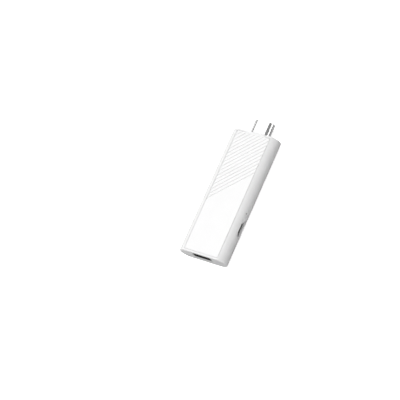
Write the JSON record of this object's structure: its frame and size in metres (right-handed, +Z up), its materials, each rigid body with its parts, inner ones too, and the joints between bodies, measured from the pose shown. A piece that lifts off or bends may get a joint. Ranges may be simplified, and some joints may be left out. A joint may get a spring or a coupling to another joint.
{
  "type": "streaming stick",
  "caption": "Slim media streaming stick with a video plug, a host port, a side power port and a reset pinhole.",
  "frame": {"origin": "on the underside, below the middle of the whole length with the plug", "axes": "+X towards the side with the power port, +Y along the stick towards the video plug, +Z up through the grooved cover"},
  "size_m": [0.0346, 0.1, 0.0124],
  "materials": {
    "housing_plastic": "fine matt, moulded white",
    "cover_plastic": "fine matt, moulded white",
    "board_laminate": "green solder resist",
    "screw_steel": "zinc plated",
    "chip_resin": "moulded black resin",
    "pad_rubber": "soft grey silicone",
    "sink_aluminium": "extruded, bare",
    "coil_ferrite": "pressed grey ferrite",
    "capacitor_ceramic": "fired tan ceramic",
    "crystal_can": "nickel plated can",
    "led_lens": "clear yellowish resin",
    "shield_steel": "tin plated sheet",
    "plug_steel": "nickel plated sheet",
    "insulator_plastic": "moulded black",
    "port_plastic": "moulded grey",
    "contact_gold": "gold plated",
    "plunger_plastic": "moulded light grey"
  },
  "bodies": {
    "stick": {"lower_housing": "housing_plastic", "top_cover": "cover_plastic", "main_board": "board_laminate", "board_screws": "screw_steel", "processor": "chip_resin", "thermal_pad": "pad_rubber", "heat_sink": "sink_aluminium", "memory_chips": "chip_resin", "storage_chip": "chip_resin", "power_chip": "chip_resin", "power_inductors": "coil_ferrite", "bulk_capacitors": "capacitor_ceramic", "small_capacitors": "capacitor_ceramic", "chip_resistors": "chip_resin", "main_crystal": "crystal_can", "clock_crystal": "crystal_can", "surge_protection_chips": "chip_resin", "status_led": "led_lens", "wireless_board": "board_laminate", "wireless_chip": "chip_resin", "wireless_shield": "shield_steel", "wireless_antenna": "shield_steel", "video_plug_shell": "plug_steel", "video_plug_insulator": "insulator_plastic", "video_plug_upper_contacts": "contact_gold", "video_plug_lower_contacts": "contact_gold", "host_port_shell": "plug_steel", "host_port_tongue": "insulator_plastic", "host_port_contacts": "contact_gold", "power_port_shell": "plug_steel", "power_port_tongue": "port_plastic", "power_port_mid_plate": "plug_steel", "power_port_upper_contacts": "contact_gold", "power_port_lower_contacts": "contact_gold", "reset_switch_base": "insulator_plastic", "reset_switch_frame": "shield_steel", "reset_switch_dome": "screw_steel", "reset_switch_terminals": "shield_steel"},
    "reset_plunger": {"reset_plunger": "plunger_plastic"}
  },
  "joints": [
    {"name": "reset_plunger_slide", "type": "slide", "parent": "stick", "child": "reset_plunger", "axis": [-1, 0, 0], "range_m": [0, 0.00025], "stiffness_N_per_m": 200, "springref_m": -0.0005}
  ]
}
